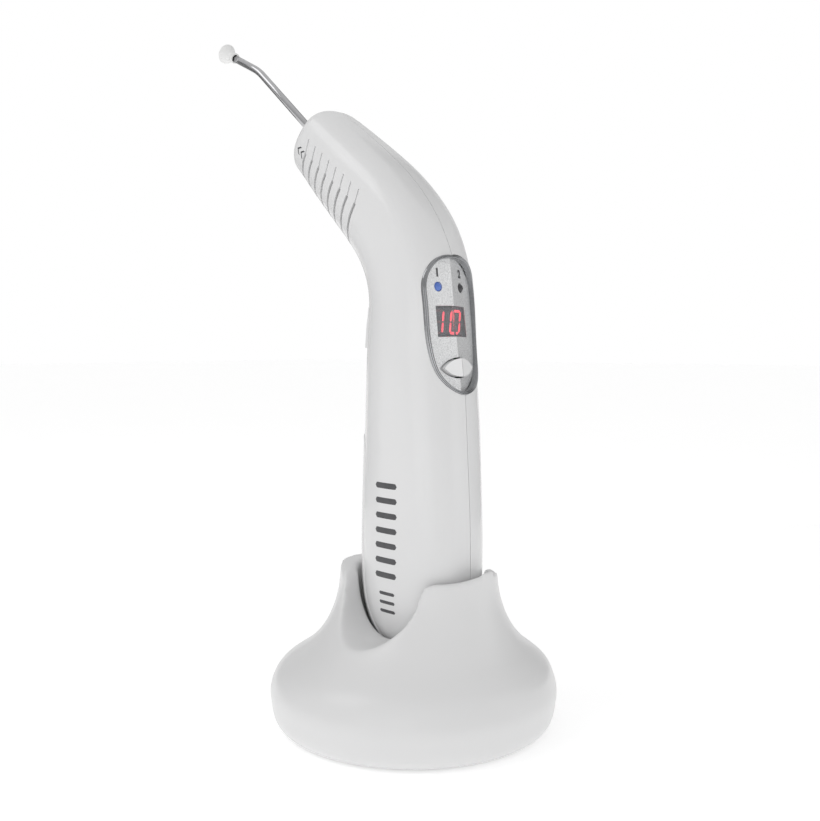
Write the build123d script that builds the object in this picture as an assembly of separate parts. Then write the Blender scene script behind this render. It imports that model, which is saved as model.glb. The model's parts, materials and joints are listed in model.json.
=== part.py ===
from build123d import *
import os
from math import cos, degrees, hypot, pi, radians, sin, sqrt, tan

os.makedirs("parts", exist_ok=True)

# Cordless dental light in its charging stand.
# Millimetres. The origin is the centre of the stand's underside, +Z is up,
# the light guide points towards -X and the display panel faces +X.
# The object is symmetric about the plane Y = 0, apart from screws and small internals.

# ---- stand ----------------------------------------------------------------
BASE_RADIUS = 48.0
FOOT_RADIUS = 41.0
FOOT_THICKNESS = 1.6
PLATE_RADIUS = 41.3
PLATE_THICKNESS = 2.0
RIM_BOTTOM = 0.6
RIM_FOOT_RADIUS = 44.6
# height, shift along X, half length along X, half width along Y
BELL_RINGS = (
    (17.0, 0.0, 47.1, 47.1),
    (22.0, 1.3, 43.4, 43.2),
    (27.0, 2.0, 36.9, 36.3),
    (33.0, 2.3, 32.9, 29.8),
    (41.0, 2.1, 30.5, 24.3),
    (50.0, 1.7, 29.5, 21.4),
    (62.0, 1.4, 28.8, 20.0),
)
SCOOP_RADIUS = 15.5
SCOOP_X = 1.3
SCOOP_Z = 46.5
# crest of the wall seen from the side, back to front
CREST = (
    (32.3, 57.0),
    (29.6, 53.4),
    (26.0, 51.9),
    (18.6, 51.7),
    (SCOOP_X + SCOOP_RADIUS, SCOOP_Z),
    (SCOOP_X - SCOOP_RADIUS, SCOOP_Z),
    (-14.8, 50.2),
    (-21.0, 52.2),
    (-26.0, 52.6),
)
CREST_CORNERS = {3: 2.5, 6: 3.0}
POCKET_GAP = 1.3
POCKET_FLOOR_GAP = 0.4
POCKET_FRONT_RELIEF = 0.8
POCKET_RELIEF_LOW = 32.0
POCKET_RELIEF_HIGH = 50.0
POCKET_TOP = 62.0
CAVITY_RADIUS = 41.5
CAVITY_TOP = 15.6
CAVITY_TOP_RADIUS = 37.0
CAVITY_SIDE_TOP = 11.0
BALLAST_OUTER = 33.5
BALLAST_INNER = 22.0
BALLAST_THICKNESS = 6.0
BASE_SCREW_RING = 37.5
BASE_SCREW_COUNT = 4

# ---- handpiece ------------------------------------------------------------
SPINE_X = 2.5
HANDLE_BOTTOM = 20.0
BEND_START_Z = 136.0
BEND_RADIUS = 50.0
NOSE_TILT = 46.0
NOSE_LENGTH = 42.0
END_ROUND_LENGTH = 30.0
END_ROUND_REACH = 32.0
FRONT_POWER = 2.2
EGG = 0.12
# distance along the spine, half depth, half width, squareness of the back
HANDLE_RINGS = (
    (30, 21.3, 16.0, 2.4),
    (55, 21.0, 16.2, 2.4),
    (82, 19.6, 16.3, 2.4),
    (108, 18.2, 16.2, 2.2),
    (128, 16.6, 15.8, 2.6),
    (142, 16.2, 15.6, 3.0),
    (156, 15.9, 15.3, 3.0),
    (172, 15.1, 14.5, 2.8),
    (186, 13.9, 13.3, 2.6),
)
NOSE_END_RING = (12.5, 12.0, 2.6)
END_RING_STEPS = (0, 1.5, 4, 8, 14, 21)
NOSE_ROUND = 4.0
NOSE_DROOP = 1.3
NOSE_DROOP_LENGTH = 26.0
WALL = 2.0
SEAM = 0.1

# ---- front battery cover ---------------------------------------------------
COVER_HALF_WIDTH = 11.3
COVER_BOTTOM = 26.0
COVER_TOP = 97.0
COVER_PROUD = 0.35
COVER_GAP = 0.15

# ---- back panel ------------------------------------------------------------
PANEL_X = 18.4
PANEL_Z = 126.0
PANEL_LEAN = 6.4
FACET_TILT = 12.0
# half width, height along the panel
BEZEL_OUTLINE = (
    (8.2, 28.4),
    (12.5, 23.6),
    (13.3, 15.5),
    (13.1, 6.5),
    (12.3, -2.5),
    (10.4, -9.0),
    (6.2, -13.4),
)
BEZEL_TOP = 30.0
BEZEL_BOTTOM = -15.3
BEZEL_WIDTH = 1.6
BEZEL_PROUD = 0.4
BEZEL_DEPTH = 4.0
PLATE_SKIN = 1.5
WINDOW_WIDTH = 15.0
WINDOW_HEIGHT = 10.0
WINDOW_Y = 8.7
BOARD_FRONT = -8.0
BOARD_THICKNESS = 1.6
BOARD_WIDTH = 20.0
BOARD_HEIGHT = 43.0
BOARD_Y = 6.0
INDICATOR_X = 5.75
INDICATOR_Y = 19.8
INDICATOR_RADIUS = 1.5
ROCKER_Y = -6.4
ROCKER_HALF_LENGTH = 7.4
ROCKER_HALF_HEIGHT = 2.95
ROCKER_PROUD = 1.5
ROCKER_BOTTOM = -4.1
ROCKER_GAP = 0.45
ROCKER_PIN_DEPTH = -3.0
ROCKER_PIN_RADIUS = 0.8
SWITCH_X = 5.5

# ---- trigger ---------------------------------------------------------------
TRIGGER_HALF_WIDTH = 6.0
TRIGGER_GAP = 0.4
TRIGGER_PROUD = 1.7
TRIGGER_TOP = 139.6
TRIGGER_BOTTOM = 125.6
TRIGGER_PIN_X = -11.0
TRIGGER_PIN_Z = 137.0
TRIGGER_PIN_RADIUS = 1.0

# ---- vents -----------------------------------------------------------------
VENT_COUNT = 8
VENT_FIRST = (-12.3, 173.2)
VENT_LAST = (-37.7, 192.7)
VENT_GROOVE = (1.8, 4.5)
VENT_DROP_FIRST = (-7.9, -10.6)
VENT_DROP_LAST = (-4.8, -5.2)
VENT_SLOT_WIDTH = 1.15
VENT_GROOVE_WIDTH = 0.5
VENT_GROOVE_DEPTH = 0.5
VENT_INNER_Y = 6.0

# ---- light guide -----------------------------------------------------------
GUIDE_X = -43.7
GUIDE_Z = 199.9
GUIDE_TILT = 47.2
GUIDE_STRAIGHT = 43.6
GUIDE_BEND = 15.0
GUIDE_BEND_RADIUS = 22.0
GUIDE_DISTAL = 19.5
TUBE_RADIUS = 1.15
CORE_RADIUS = 0.85
RUNNING = 0.05
SOCKET_BORE = 4.5
SOCKET_OUTER = 7.0
SOCKET_LENGTH = 16.0
FERRULE_RADIUS = 2.45
COLLAR_END = 5.0
FLARE_RADIUS = 3.75
CAP_NECK_RADIUS = 2.35

# ---- battery and charging ---------------------------------------------------
CELL_RADIUS = 9.2
CELL_X = -1.0
CELL_BOTTOM = 42.0
CELL_LENGTH = 65.0
CONTACT_OFFSET = 4.6
CONTACT_RADIUS = 1.5
PIN_RADIUS = 0.6
PIN_TOUCH_GAP = 0.1
SLEEVE_RADIUS = 1.1

# shell screws, X and Z of each boss
SHELL_BOSSES = ((15.5, 46.0), (15.0, 96.0), (1.5, 162.0))
BOSS_RADIUS = 3.0
SCREW_RADIUS = 1.0


def unit(angle):
    """Direction in the plane Y = 0, leaning by an angle from vertical towards -X."""
    return Vector(-sin(radians(angle)), 0, cos(radians(angle)))


def across(angle):
    """Direction square to unit(angle), towards the back."""
    return Vector(cos(radians(angle)), 0, sin(radians(angle)))


def frame_on(origin, angle):
    return Plane(origin=origin, x_dir=across(angle), z_dir=unit(angle))


STRAIGHT_LENGTH = BEND_START_Z - HANDLE_BOTTOM
ARC_LENGTH = BEND_RADIUS * radians(NOSE_TILT)
SPINE_LENGTH = STRAIGHT_LENGTH + ARC_LENGTH + NOSE_LENGTH


def spine_plane(along):
    """Section plane of the handpiece at a distance along its spine."""
    if along <= STRAIGHT_LENGTH:
        return frame_on(Vector(SPINE_X, 0, HANDLE_BOTTOM + along), 0)
    centre = Vector(SPINE_X - BEND_RADIUS, 0, BEND_START_Z)
    beyond = along - STRAIGHT_LENGTH
    if beyond <= ARC_LENGTH:
        angle = degrees(beyond / BEND_RADIUS)
        return frame_on(centre + across(angle) * BEND_RADIUS, angle)
    drooping = max(0.0, 1 - (SPINE_LENGTH - along) / NOSE_DROOP_LENGTH)
    corner = centre + across(NOSE_TILT) * (BEND_RADIUS - NOSE_DROOP * drooping**2)
    return frame_on(corner + unit(NOSE_TILT) * (beyond - ARC_LENGTH), NOSE_TILT)


def power_of(value, power):
    return (1 if value >= 0 else -1) * abs(value) ** power


def egg_wire(plane, depth, width, back_power):
    """Egg-shaped section: squarer at the back, narrower at the front."""
    steps = 28
    points = []
    for step in range(steps):
        angle = 2 * pi * step / steps
        power = 2 / (back_power if cos(angle) > 0 else FRONT_POWER)
        x = depth * power_of(cos(angle), power)
        y = width * power_of(sin(angle), power) * (1 + EGG * cos(angle))
        points.append(plane.from_local_coords(Vector(x, y, 0)))
    return Wire([Edge.make_spline(points, periodic=True)])


def handpiece_form(grow=0.0, start=0.0, stop=SPINE_LENGTH):
    """Solid form of the handpiece, grown or shrunk by a constant amount."""
    wires = []
    first = HANDLE_RINGS[0]
    for along in END_RING_STEPS:
        reach = END_ROUND_LENGTH - start - along * (END_ROUND_LENGTH - start) / END_ROUND_LENGTH
        scale = sqrt(1 - (reach / END_ROUND_REACH) ** 2)
        ring = (first[1] * scale + grow, first[2] * scale + grow)
        wires.append(egg_wire(spine_plane(END_ROUND_LENGTH - reach), *ring, first[3]))
    for along, depth, width, back_power in HANDLE_RINGS:
        wires.append(egg_wire(spine_plane(along), depth + grow, width + grow, back_power))
    depth, width, back_power = NOSE_END_RING
    wires.append(egg_wire(spine_plane(stop), depth + grow, width + grow, back_power))
    return Solid.make_loft(wires)


def panel_plane(depth=0.0):
    """Plane of the back panel: its X is the row's Y, its Y runs up the panel."""
    normal = Vector(cos(radians(PANEL_LEAN)), 0, sin(radians(PANEL_LEAN)))
    origin = Vector(PANEL_X, 0, PANEL_Z) + normal * depth
    return Plane(origin=origin, x_dir=Vector(0, 1, 0), z_dir=normal)


def bezel_face(inset, depth):
    """Teardrop outline of the bezel on the panel plane, drawn in by an inset."""
    middle = (BEZEL_TOP + BEZEL_BOTTOM) / 2
    narrow = 1 - inset / max(x for x, y in BEZEL_OUTLINE)
    short = 1 - inset / (BEZEL_TOP - middle)
    half = [(x * narrow, middle + (y - middle) * short) for x, y in BEZEL_OUTLINE]
    top = (0, BEZEL_TOP - inset)
    bottom = (0, BEZEL_BOTTOM + inset)
    ring = [top] + half + [bottom] + [(-x, y) for x, y in reversed(half)]
    plane = panel_plane(depth)
    points = [plane.from_local_coords(Vector(x, y, 0)) for x, y in ring]
    return Face(Wire([Edge.make_spline(points, periodic=True)]))


def bezel_prism(inset, low=-9.0, high=8.0):
    face = bezel_face(inset, low)
    return Solid.extrude(face, panel_plane().z_dir * (high - low))


def panel_box(width, height, low, high, x=0.0, y=0.0):
    """Box on the panel plane, from a low to a high depth."""
    plane = panel_plane(low)
    box = Box(width, height, high - low, align=(Align.CENTER, Align.CENTER, Align.MIN))
    return plane * Pos(x, y, 0) * box


def panel_cylinder(radius, low, high, x=0.0, y=0.0):
    align = (Align.CENTER, Align.CENTER, Align.MIN)
    return panel_plane(low) * Pos(x, y, 0) * Cylinder(radius, high - low, align=align)


def roof(width, height, ridge, thickness, y=0.0):
    """Two-facet sheet whose ridge runs up the panel."""
    fall = width / 2 * tan(radians(FACET_TILT))
    outline = Polyline(
        (-width / 2, ridge - fall),
        (0, ridge),
        (width / 2, ridge - fall),
        (width / 2, ridge - fall - thickness),
        (0, ridge - thickness),
        (-width / 2, ridge - fall - thickness),
        close=True,
    )
    base = panel_plane()
    profile = Plane(
        origin=base.from_local_coords(Vector(0, y - height / 2, 0)),
        x_dir=base.x_dir,
        z_dir=base.y_dir * -1,
    )
    sheet = Solid.extrude(Face(Wire(outline.edges())), Vector(0, 0, -height))
    return profile * sheet


def side_cylinder(x, z, radius, low, high):
    """Cylinder along Y between two Y values."""
    plane = Plane(origin=(x, low, z), x_dir=(1, 0, 0), z_dir=(0, 1, 0))
    return plane * Cylinder(radius, high - low, align=(Align.CENTER, Align.CENTER, Align.MIN))


def block(low, high):
    """Axis-aligned box between two corners."""
    size = [b - a for a, b in zip(low, high)]
    centre = [(a + b) / 2 for a, b in zip(low, high)]
    return Pos(*centre) * Box(*size)


def upright(radius, low, high, x=0.0, y=0.0):
    return Pos(x, y, low) * Cylinder(radius, high - low, align=(Align.CENTER, Align.CENTER, Align.MIN))


def guide_plane(along):
    return frame_on(Vector(GUIDE_X, 0, GUIDE_Z) + unit(GUIDE_TILT) * along, GUIDE_TILT)


def guide_rod(radius, low, high):
    """Cylinder on the light guide's axis."""
    align = (Align.CENTER, Align.CENTER, Align.MIN)
    return guide_plane(low) * Cylinder(radius, high - low, align=align)


def save(name, shape):
    shape = shape if isinstance(shape, Compound) else Compound(children=[shape])
    export_step(shape, f"parts/{name}.step")


# ---- stand pieces ------------------------------------------------------------

def bell_solid():
    """Bell: rounded brim, concave flare and oval neck."""
    wires = []
    for height, shift, length, width in BELL_RINGS:
        plane = Plane(origin=(shift, 0, height), x_dir=(1, 0, 0), z_dir=(0, 0, 1))
        wires.append(Wire([Edge.make_ellipse(length, width, plane)]))
    flare = Solid.make_loft(wires)
    lip = BELL_RINGS[0][2]
    side = Spline(
        (RIM_FOOT_RADIUS, RIM_BOTTOM),
        (47.1, 3.4),
        (BASE_RADIUS + 0.2, 9.5),
        (lip, BELL_RINGS[0][0]),
        tangents=((1, 0.6), (-0.5, 1)),
    )
    outline = Wire([
        Edge.make_line((0, RIM_BOTTOM), (RIM_FOOT_RADIUS, RIM_BOTTOM)),
        side.edge(),
        Edge.make_line((lip, BELL_RINGS[0][0]), (0, BELL_RINGS[0][0])),
        Edge.make_line((0, BELL_RINGS[0][0]), (0, RIM_BOTTOM)),
    ])
    brim = Solid.revolve(Plane.XZ * Face(outline), 360, Axis.Z)
    return brim + flare


def crown_cut():
    """Everything above the crest and inside the side scoops, as one prism along Y."""
    reach = 60
    top = 80
    outline = Polyline((reach, CREST[0][1]), *CREST, (-reach, CREST[-1][1]), (-reach, top), (reach, top), close=True)
    sketch = make_face(outline.edges()) + Pos(SCOOP_X, SCOOP_Z) * Circle(SCOOP_RADIUS)
    for index, radius in CREST_CORNERS.items():
        corner = sketch.vertices().sort_by_distance((*CREST[index], 0))[0]
        sketch = fillet(corner, radius)
    plane = Plane(origin=(0, reach, 0), x_dir=(1, 0, 0), z_dir=(0, -1, 0))
    return extrude(plane * sketch, 2 * reach)


def pocket_solid():
    """Room for the handle: an even gap low down, and more in front near the crest."""
    steps = 8
    wires = []
    _, depth, width, back_power = HANDLE_RINGS[0]
    for step in range(steps + 1):
        height = HANDLE_BOTTOM + (POCKET_TOP - HANDLE_BOTTOM) * step / steps
        reach = max(0.0, HANDLE_BOTTOM + END_ROUND_LENGTH - height)
        scale = sqrt(1 - (reach / END_ROUND_REACH) ** 2)
        blend = (height - POCKET_RELIEF_LOW) / (POCKET_RELIEF_HIGH - POCKET_RELIEF_LOW)
        relief = POCKET_FRONT_RELIEF * min(1.0, max(0.0, blend))
        plane = Plane(origin=(SPINE_X - relief / 2, 0, height), x_dir=(1, 0, 0), z_dir=(0, 0, 1))
        half_depth = depth * scale + POCKET_GAP + relief / 2
        wires.append(egg_wire(plane, half_depth, width * scale + POCKET_GAP, back_power))
    floor = upright(9.5, HANDLE_BOTTOM - POCKET_FLOOR_GAP, HANDLE_BOTTOM + 1, SPINE_X)
    return Solid.make_loft(wires) + floor


def stand_cavity():
    profile = Polyline(
        (0, RIM_BOTTOM - 1),
        (CAVITY_RADIUS, RIM_BOTTOM - 1),
        (CAVITY_RADIUS, CAVITY_SIDE_TOP),
        (CAVITY_TOP_RADIUS, CAVITY_TOP),
        (0, CAVITY_TOP),
        close=True,
    )
    return Solid.revolve(Plane.XZ * Face(Wire(profile.edges())), 360, Axis.Z)


def make_stand_shell():
    shell = bell_solid() - crown_cut() - stand_cavity() - pocket_solid()
    window = block((SPINE_X - 8.2, -3.2, CAVITY_TOP - 1), (SPINE_X + 8.2, 3.2, HANDLE_BOTTOM + 2))
    shell = shell - window
    for x, y in base_screw_places():
        post = upright(3.4, PLATE_THICKNESS + FOOT_THICKNESS, CAVITY_SIDE_TOP + 3, x, y)
        shell = shell + post
        shell = shell - upright(SCREW_RADIUS, PLATE_THICKNESS + FOOT_THICKNESS, CAVITY_SIDE_TOP, x, y)
    socket_hole = Plane(origin=(-BASE_RADIUS - 2, 0, SOCKET_Z), z_dir=(1, 0, 0)) * Cylinder(
        4.2, 16, align=(Align.CENTER, Align.CENTER, Align.MIN)
    )
    return shell - socket_hole


def base_screw_places():
    places = []
    for index in range(BASE_SCREW_COUNT):
        angle = 2 * pi * (index + 0.5) / BASE_SCREW_COUNT
        places.append((BASE_SCREW_RING * cos(angle), BASE_SCREW_RING * sin(angle)))
    return places


def make_foot_pad():
    return upright(FOOT_RADIUS, 0, FOOT_THICKNESS)


def make_base_plate():
    plate = upright(PLATE_RADIUS, FOOT_THICKNESS, FOOT_THICKNESS + PLATE_THICKNESS)
    for x, y in base_screw_places():
        plate = plate - upright(2.1, FOOT_THICKNESS, FOOT_THICKNESS + 1.2, x, y)
        plate = plate - upright(1.2, FOOT_THICKNESS, FOOT_THICKNESS + PLATE_THICKNESS, x, y)
    return plate


def make_base_screws():
    screws = []
    for x, y in base_screw_places():
        head = upright(2.0, FOOT_THICKNESS + 0.1, FOOT_THICKNESS + 1.2, x, y)
        shank = upright(SCREW_RADIUS, FOOT_THICKNESS + 1.2, CAVITY_SIDE_TOP - 0.5, x, y)
        screws.append(head + shank)
    return Compound(children=screws)


PLATE_TOP = FOOT_THICKNESS + PLATE_THICKNESS
SOCKET_Z = 8.6
CHARGE_BOARD_Z = 6.0
BLOCK_TOP = HANDLE_BOTTOM - 1.2


def make_ballast():
    ring = upright(BALLAST_OUTER, PLATE_TOP, PLATE_TOP + BALLAST_THICKNESS)
    ring = ring - upright(BALLAST_INNER, PLATE_TOP, PLATE_TOP + BALLAST_THICKNESS)
    notch = block((-BALLAST_OUTER - 1, -6.5, PLATE_TOP - 1), (-BALLAST_INNER + 2, 6.5, PLATE_TOP + 9))
    return ring - notch


def make_charge_board():
    low = (-17.0, -10.0, CHARGE_BOARD_Z)
    high = (17.0, 10.0, CHARGE_BOARD_Z + 1.6)
    board = block(low, high)
    for x in (-15.0, 15.0):
        board = board - upright(1.1, CHARGE_BOARD_Z, CHARGE_BOARD_Z + 1.6, x, 7.5)
        board = board - upright(1.1, CHARGE_BOARD_Z, CHARGE_BOARD_Z + 1.6, x, -7.5)
    return board


def make_board_standoffs():
    posts = []
    for x in (-15.0, 15.0):
        for y in (-7.5, 7.5):
            foot = upright(2.2, PLATE_TOP, CHARGE_BOARD_Z, x, y)
            posts.append(foot + upright(1.0, CHARGE_BOARD_Z, CHARGE_BOARD_Z + 2.4, x, y))
    return Compound(children=posts)


def contact_places():
    return (SPINE_X - CONTACT_OFFSET, SPINE_X + CONTACT_OFFSET)


def make_contact_block():
    bottom = CHARGE_BOARD_Z + 1.6
    body = block((SPINE_X - 8, -3, bottom), (SPINE_X + 8, 3, BLOCK_TOP))
    flange = block((SPINE_X - 11, -6, CAVITY_TOP - 2), (SPINE_X + 11, 6, CAVITY_TOP))
    body = body + flange
    for x in contact_places():
        body = body - upright(SLEEVE_RADIUS + RUNNING, bottom + 1.5, BLOCK_TOP - 1.2, x)
        body = body - upright(PIN_RADIUS + RUNNING, bottom + 1.0, BLOCK_TOP + 1, x)
    return body


def make_charge_pin(x):
    """Contact pin with a shoulder under the block's top wall."""
    shoulder_top = BLOCK_TOP - 1.2 - 0.02
    pin = upright(PIN_RADIUS, shoulder_top - 1, HANDLE_BOTTOM - PIN_TOUCH_GAP, x)
    pin = pin + upright(SLEEVE_RADIUS, shoulder_top - 2, shoulder_top, x)
    tip = pin.edges().filter_by(GeomType.CIRCLE).sort_by(Axis.Z)[-1]
    return fillet(tip, 0.4)


def make_charge_spring(x):
    low = CHARGE_BOARD_Z + 1.6 + 1.5
    high = BLOCK_TOP - 1.2 - 0.02 - 2
    return coil(x, 0, low, high, 0.78, 0.16, 7)


def coil(x, y, low, high, radius, wire, turns):
    """Upright helical spring."""
    path = Edge.make_helix((high - low - 2 * wire) / turns, high - low - 2 * wire, radius)
    start = path @ 0
    section = Plane(origin=start, z_dir=path % 0) * Circle(wire)
    return Pos(x, y, low + wire) * sweep(section, path=path)


def make_power_socket():
    """Barrel power inlet, mouth towards -X."""
    mouth_x = -BASE_RADIUS + 2.2
    plane = Plane(origin=(mouth_x, 0, SOCKET_Z), z_dir=(1, 0, 0))
    align = (Align.CENTER, Align.CENTER, Align.MIN)
    barrel = plane * Cylinder(4.0, 8.0, align=align)
    body = block((mouth_x + 7.5, -4.5, PLATE_TOP), (mouth_x + 18.0, 4.5, SOCKET_Z + 3.6))
    socket = barrel + body
    socket = socket - plane * Cylinder(2.9, 9.0, align=align)
    return socket + plane * Pos(0, 0, 1.0) * Cylinder(1.0, 8.5, align=align)


# ---- handpiece pieces ---------------------------------------------------------

def vent_places():
    """Row points where each vent's groove meets its slot, with the slot's drop."""
    places = []
    for index in range(VENT_COUNT):
        blend = index / (VENT_COUNT - 1)
        x = VENT_FIRST[0] + (VENT_LAST[0] - VENT_FIRST[0]) * blend
        z = VENT_FIRST[1] + (VENT_LAST[1] - VENT_FIRST[1]) * blend
        drop_x = VENT_DROP_FIRST[0] + (VENT_DROP_LAST[0] - VENT_DROP_FIRST[0]) * blend
        drop_z = VENT_DROP_FIRST[1] + (VENT_DROP_LAST[1] - VENT_DROP_FIRST[1]) * blend
        places.append(((x, z), (drop_x, drop_z)))
    return places


def slanted_strip(start, run, width, low, high):
    """Flat strip of constant width in the plane Y = 0, carried from one Y to another."""
    length = hypot(*run)
    direction = Vector(run[0] / length, 0, run[1] / length)
    plane = Plane(origin=(start[0], low, start[1]), x_dir=direction, z_dir=(0, 1, 0))
    align = (Align.MIN, Align.CENTER, Align.MIN)
    return plane * Box(length, width, high - low, align=align)


def cut_vents(shell, side, groove_core):
    """Slots that open the underside, and the shallow grooves that carry on up the side."""
    low, high = sorted((side * VENT_INNER_Y, side * 24))
    for start, drop in vent_places():
        reach = (drop[0] * 1.25, drop[1] * 1.25)
        shell = shell - slanted_strip(start, reach, VENT_SLOT_WIDTH, low, high)
    grooves = []
    for start, drop in vent_places():
        grooves.append(slanted_strip(start, VENT_GROOVE, VENT_GROOVE_WIDTH, low, high))
    return shell - (Compound(children=grooves) - groove_core)


def cover_region(margin):
    half = COVER_HALF_WIDTH + margin
    region = block((-30, -half, COVER_BOTTOM - margin), (SPINE_X, half, COVER_TOP + margin))
    corners = region.edges().filter_by(Axis.X)
    return fillet(corners, 5.0 + margin)


def shell_bosses(side):
    posts = None
    low, high = sorted((side * SEAM, side * 15.0))
    for x, z in SHELL_BOSSES:
        post = side_cylinder(x, z, BOSS_RADIUS, low, high)
        posts = post if posts is None else posts + post
    return posts


def trigger_window():
    half = TRIGGER_HALF_WIDTH + TRIGGER_GAP
    low = (-24, -half, TRIGGER_BOTTOM - TRIGGER_GAP)
    return block(low, (-8, half, TRIGGER_TOP + TRIGGER_GAP))


def trigger_cheek(side):
    """Post beside the trigger that holds one end of its pin."""
    low, high = sorted((side * (TRIGGER_HALF_WIDTH + TRIGGER_GAP), side * 12.0))
    return block((-14, low, TRIGGER_PIN_Z - 2.5), (TRIGGER_PIN_X + 3, high, TRIGGER_PIN_Z + 2.5))


def make_shell_half(side, outer, inner, groove_core):
    """One half of the handpiece's casing; side is -1 or +1 along Y."""
    low, high = sorted((side * SEAM, side * 40))
    half_space = block((-80, low, 0), (60, high, 240))
    extra = shell_bosses(side) + trigger_cheek(side)
    wall = outer - inner
    shell = (wall & half_space) + (extra & outer & half_space)
    shell = shell - (trigger_window() & half_space)
    shell = shell - cover_region(COVER_GAP)
    shell = shell - bezel_prism(0.0)
    shell = shell - guide_rod(SOCKET_OUTER, -SOCKET_LENGTH - 4, 6)
    shell = shell - side_cylinder(TRIGGER_PIN_X, TRIGGER_PIN_Z, TRIGGER_PIN_RADIUS, -9, 9)
    for x in contact_places():
        shell = shell - upright(CONTACT_RADIUS, HANDLE_BOTTOM - 1, HANDLE_BOTTOM + 6, x)
    for x, z in SHELL_BOSSES:
        shell = shell - side_cylinder(x, z, SCREW_RADIUS, -8, 9)
        shell = shell - side_cylinder(x, z, 2.2, 9, 30)
    return cut_vents(shell, side, groove_core)


def make_shell_screws():
    screws = []
    for x, z in SHELL_BOSSES:
        shank = side_cylinder(x, z, SCREW_RADIUS, -7.5, 9)
        screws.append(shank + side_cylinder(x, z, 2.0, 9, 10.6))
    return Compound(children=screws)


def make_battery_cover(outer, inner):
    proud = handpiece_form(COVER_PROUD)
    return (proud - inner) & cover_region(0)


def make_bezel():
    band = bezel_prism(0.05) - bezel_prism(BEZEL_WIDTH)
    return band & (handpiece_form(BEZEL_PROUD) - handpiece_form(-BEZEL_DEPTH))


def eye_prism(grow, low, high):
    """Lens-shaped prism, pointed at both ends, across the panel."""
    half = ROCKER_HALF_LENGTH + grow
    rise = ROCKER_HALF_HEIGHT + grow
    plane = panel_plane(low)
    upper = ThreePointArc((-half, ROCKER_Y), (0, ROCKER_Y + rise), (half, ROCKER_Y))
    lower = ThreePointArc((half, ROCKER_Y), (0, ROCKER_Y - rise), (-half, ROCKER_Y))
    face = plane * Face(Wire(upper.edges() + lower.edges()))
    return Solid.extrude(face, plane.z_dir * (high - low))


def make_panel_plate():
    middle = (BEZEL_TOP + BEZEL_BOTTOM) / 2
    sheet = roof(30, BEZEL_TOP - BEZEL_BOTTOM, 0, PLATE_SKIN, middle)
    plate = sheet & bezel_prism(BEZEL_WIDTH + 0.05)
    plate = plate - panel_box(WINDOW_WIDTH, WINDOW_HEIGHT, -6, 2, 0, WINDOW_Y)
    for x in (-INDICATOR_X, INDICATOR_X):
        plate = plate - panel_cylinder(INDICATOR_RADIUS + 0.1, -6, 2, x, INDICATOR_Y)
    plate = plate - eye_prism(ROCKER_GAP, -8, 4)
    for y in lug_places():
        plate = plate + panel_box(3.2, 1.4, ROCKER_PIN_DEPTH - 1.3, -PLATE_SKIN + 0.4, 0, y)
    reach = ROCKER_HALF_HEIGHT + ROCKER_GAP + 1.0
    return plate - rocker_axis_cylinder(ROCKER_PIN_RADIUS, reach)


def lug_places():
    reach = ROCKER_HALF_HEIGHT + ROCKER_GAP + 0.7
    return (ROCKER_Y - reach, ROCKER_Y + reach)


def rocker_axis_cylinder(radius, reach):
    """Cylinder on the rocker's pivot, which runs up the panel."""
    base = panel_plane(ROCKER_PIN_DEPTH)
    start = base.from_local_coords(Vector(0, ROCKER_Y - reach, 0))
    plane = Plane(origin=start, x_dir=base.x_dir, z_dir=base.y_dir)
    return plane * Cylinder(radius, 2 * reach, align=(Align.CENTER, Align.CENTER, Align.MIN))


def make_rocker_pin():
    return rocker_axis_cylinder(ROCKER_PIN_RADIUS, ROCKER_HALF_HEIGHT + ROCKER_GAP + 1.0)


def make_rocker_button():
    body = eye_prism(0, ROCKER_BOTTOM, 4)
    body = body & roof(30, 12, ROCKER_PROUD, 10, ROCKER_Y)
    groove = panel_box(0.4, 12, ROCKER_PROUD - 0.35, 4, 0, ROCKER_Y)
    return body - groove - rocker_axis_cylinder(ROCKER_PIN_RADIUS + RUNNING, 6)


def make_rocker_switch(x):
    base = panel_box(4.2, 4.2, BOARD_FRONT, BOARD_FRONT + 2.4, x, ROCKER_Y)
    return base + panel_cylinder(1.0, BOARD_FRONT + 2.4, ROCKER_BOTTOM - 0.4, x, ROCKER_Y)


def make_display_window():
    lens = roof(WINDOW_WIDTH - 0.2, WINDOW_HEIGHT - 0.2, -0.1, 1.0, WINDOW_Y)
    return lens


def make_display_module():
    top = -WINDOW_WIDTH / 2 * tan(radians(FACET_TILT)) - 1.25
    return panel_box(WINDOW_WIDTH, WINDOW_HEIGHT, BOARD_FRONT, top, 0, WINDOW_Y)


def make_indicator(x):
    flange = panel_cylinder(1.9, -5.5, -4.6, x, INDICATOR_Y)
    bulb = panel_cylinder(INDICATOR_RADIUS, -5.5, -1.9, x, INDICATOR_Y)
    dome = panel_plane(-1.9) * Pos(x, INDICATOR_Y, 0) * Sphere(INDICATOR_RADIUS)
    legs = panel_cylinder(0.25, BOARD_FRONT, -5.5, x - 0.9, INDICATOR_Y)
    legs = legs + panel_cylinder(0.25, BOARD_FRONT, -5.5, x + 0.9, INDICATOR_Y)
    return bulb + dome + flange + legs


def make_control_board():
    low = BOARD_FRONT - BOARD_THICKNESS
    return panel_box(BOARD_WIDTH, BOARD_HEIGHT, low, BOARD_FRONT, 0, BOARD_Y)


def make_buzzer():
    return panel_cylinder(4.5, BOARD_FRONT - BOARD_THICKNESS - 4.5, BOARD_FRONT - BOARD_THICKNESS, 4, 19)


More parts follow.
